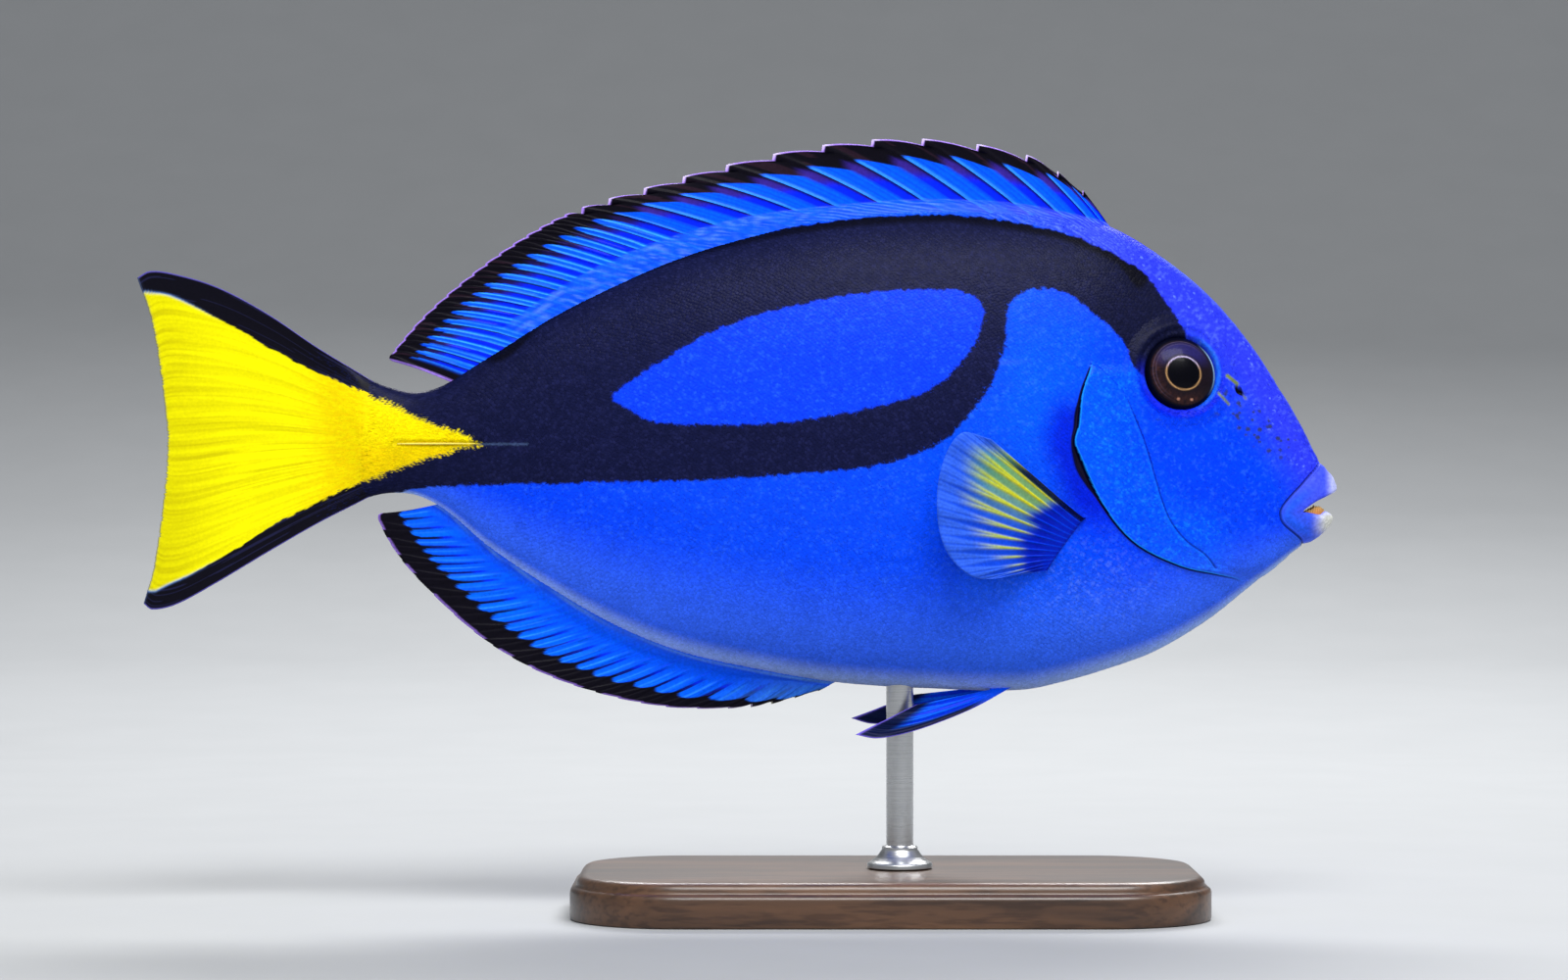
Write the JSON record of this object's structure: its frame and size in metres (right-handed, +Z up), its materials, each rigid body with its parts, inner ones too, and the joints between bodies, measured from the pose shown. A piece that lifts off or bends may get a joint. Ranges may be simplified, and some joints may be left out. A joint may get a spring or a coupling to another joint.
{
  "type": "regal blue tang",
  "caption": "Life-size regal blue tang swimming with its fins spread, held on a plain display stand.",
  "frame": {"origin": "bottom centre of the bounding box, on the underside of the stand", "axes": "+X towards the snout, +Y towards the fish's left side, +Z up"},
  "size_m": [0.2205, 0.064, 0.142],
  "materials": {
    "blue_skin": "wet scaled skin, deep blue",
    "banded_skin": "wet scaled skin, blue with a black band and a yellow wedge at the tail",
    "lips": "smooth skin, pale violet blue",
    "eyes": "polished, dark brown with a blue ring",
    "blue_fins": "blue rays with a black margin",
    "yellow_fin": "bright yellow with black margins",
    "pale_fins": "clear membrane, blue at the foot and yellow at the tip",
    "bone": "ivory spine",
    "stand_wood": "dark stained, satin",
    "stand_steel": "brushed"
  },
  "bodies": {
    "root": {"head": "blue_skin", "trunk": "banded_skin", "tail_stalk": "banded_skin", "upper_jaw": "lips", "lower_jaw": "lips", "gill_cover_right": "blue_skin", "gill_cover_left": "blue_skin", "eye_right": "eyes", "eye_left": "eyes", "dorsal_fin": "blue_fins", "anal_fin": "blue_fins", "tail_fin": "yellow_fin", "pectoral_fin_right": "pale_fins", "pectoral_fin_left": "pale_fins", "pelvic_fin_right": "blue_fins", "pelvic_fin_left": "blue_fins", "tail_spine_right": "bone", "tail_spine_left": "bone", "stand_base": "stand_wood", "stand_rod": "stand_steel"}
  },
  "joints": []
}
